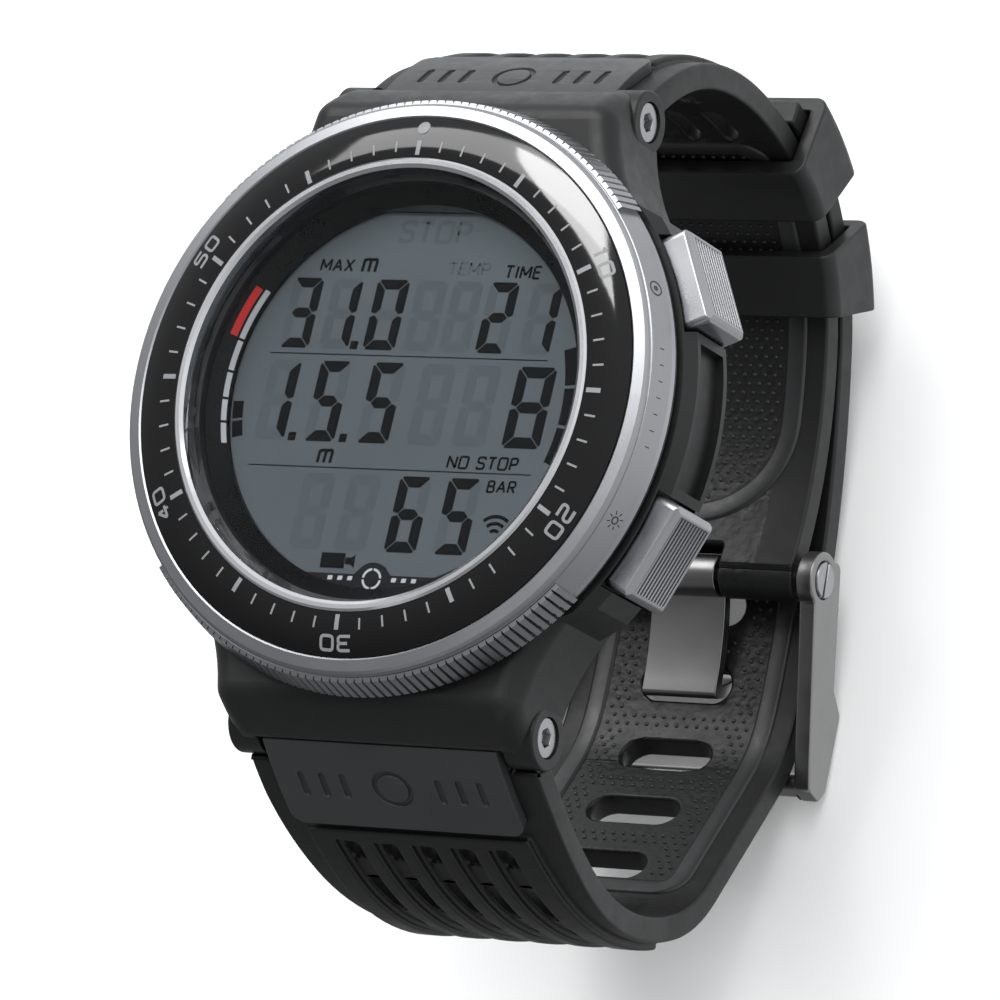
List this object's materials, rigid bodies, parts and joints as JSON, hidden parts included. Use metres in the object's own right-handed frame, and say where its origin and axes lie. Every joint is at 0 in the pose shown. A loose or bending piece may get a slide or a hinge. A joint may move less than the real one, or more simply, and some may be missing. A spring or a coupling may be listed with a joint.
{
  "type": "dive computer",
  "caption": "Wrist dive computer: round case with knurled bezel, glass over a segment display, side push buttons and a vented rubber strap with tang buckle.",
  "frame": {"origin": "centre of the outer face of the case back, where it meets the wrist", "axes": "+Z out of the dial, +Y to the 12 o'clock side, +X to the 3 o'clock side"},
  "size_m": [0.0518, 0.078, 0.0635],
  "materials": {
    "case_polymer": "fine matt",
    "back_steel": "circular brushed",
    "seal_rubber": "smooth",
    "screw_steel": "satin",
    "frame_plastic": "moulded",
    "battery_steel": "satin nickel",
    "contact_brass": "satin",
    "board_green": "solder mask",
    "switch_plastic": "moulded",
    "chip_plastic": "moulded",
    "connector_rubber": "striped silicone",
    "backlight_plastic": "translucent",
    "display_grey": "display film",
    "mask_black": "gloss",
    "mineral_glass": "clear",
    "polished_ring": "mirror polished",
    "insert_black": "gloss, printed scale",
    "satin_steel": "satin, knurled sectors",
    "button_steel": "satin with polished rim",
    "strap_rubber": "matt with dotted grip",
    "pad_rubber": "matt, lighter",
    "keeper_rubber": "matt",
    "buckle_steel": "satin"
  },
  "bodies": {
    "case": {"battery": "battery_steel", "battery_contact": "contact_brass", "battery_door_gasket": "seal_rubber", "bezel_insert": "insert_black", "bezel_ring": "satin_steel", "board_screws": "screw_steel", "buckle_pin": "screw_steel", "button_lower_right_bushing": "screw_steel", "button_lower_right_seals": "seal_rubber", "button_lower_right_spring": "screw_steel", "button_upper_right_bushing": "screw_steel", "button_upper_right_seals": "seal_rubber", "button_upper_right_spring": "screw_steel", "buzzer": "contact_brass", "case_back": "back_steel", "case_back_gasket": "seal_rubber", "case_back_screws": "screw_steel", "case_body": "case_polymer", "circuit_board": "board_green", "crystal": "mineral_glass", "crystal_gasket": "seal_rubber", "dial_mask": "mask_black", "elastomer_connectors": "connector_rubber", "inner_ring": "polished_ring", "key_switches": "switch_plastic", "lcd_backlight": "backlight_plastic", "lcd_panel": "display_grey", "lug_screws": "screw_steel", "lug_tube_12": "screw_steel", "lug_tube_6": "screw_steel", "microcontroller": "chip_plastic", "movement_frame": "frame_plastic", "pressure_sensor": "back_steel", "strap_12": "strap_rubber", "strap_12_pad": "pad_rubber", "strap_6": "strap_rubber", "strap_6_pad": "pad_rubber"},
    "battery_door": {"battery_door": "case_polymer"},
    "keeper_upper": {"keeper_upper": "keeper_rubber"},
    "keeper_lower": {"keeper_lower": "keeper_rubber"},
    "buckle_frame": {"buckle_frame": "buckle_steel"},
    "buckle_tongue": {"buckle_tongue": "buckle_steel"},
    "button_upper_right": {"button_upper_right_cap": "button_steel", "button_upper_right_stem": "screw_steel"},
    "button_lower_right": {"button_lower_right_cap": "button_steel", "button_lower_right_stem": "screw_steel"}
  },
  "joints": [
    {"name": "press_upper_right", "type": "slide", "parent": "case", "child": "button_upper_right", "axis": [-0.9033, -0.4289, 0], "range_m": [0, 0.001], "stiffness_N_per_m": 800, "springref_m": -0.0015, "deforming": ["button_upper_right_spring"]},
    {"name": "press_lower_right", "type": "slide", "parent": "case", "child": "button_lower_right", "axis": [-0.9033, 0.4289, 0], "range_m": [0, 0.001], "stiffness_N_per_m": 800, "springref_m": -0.0015, "deforming": ["button_lower_right_spring"]},
    {"name": "battery_door_turn", "type": "hinge", "parent": "case", "child": "battery_door", "pos_m": [0, 0, 0], "axis": [0, 0, -1], "range_deg": [0, 60]},
    {"name": "keeper_upper_slide", "type": "hinge", "parent": "case", "child": "keeper_upper", "pos_m": [0, 0.01461, -0.02078], "axis": [1, 0, 0], "range_deg": [-5, 4]},
    {"name": "keeper_lower_slide", "type": "hinge", "parent": "case", "child": "keeper_lower", "pos_m": [0, 0.01461, -0.02078], "axis": [1, 0, 0], "range_deg": [-6, 5]},
    {"name": "buckle_frame_swing", "type": "hinge", "parent": "case", "child": "buckle_frame", "pos_m": [0, -0.00128, -0.04174], "axis": [1, 0, 0], "range_deg": [0, 100]},
    {"name": "buckle_tongue_swing", "type": "hinge", "parent": "case", "child": "buckle_tongue", "pos_m": [0, -0.00128, -0.04174], "axis": [-1, 0, 0], "range_deg": [0, 40]}
  ]
}
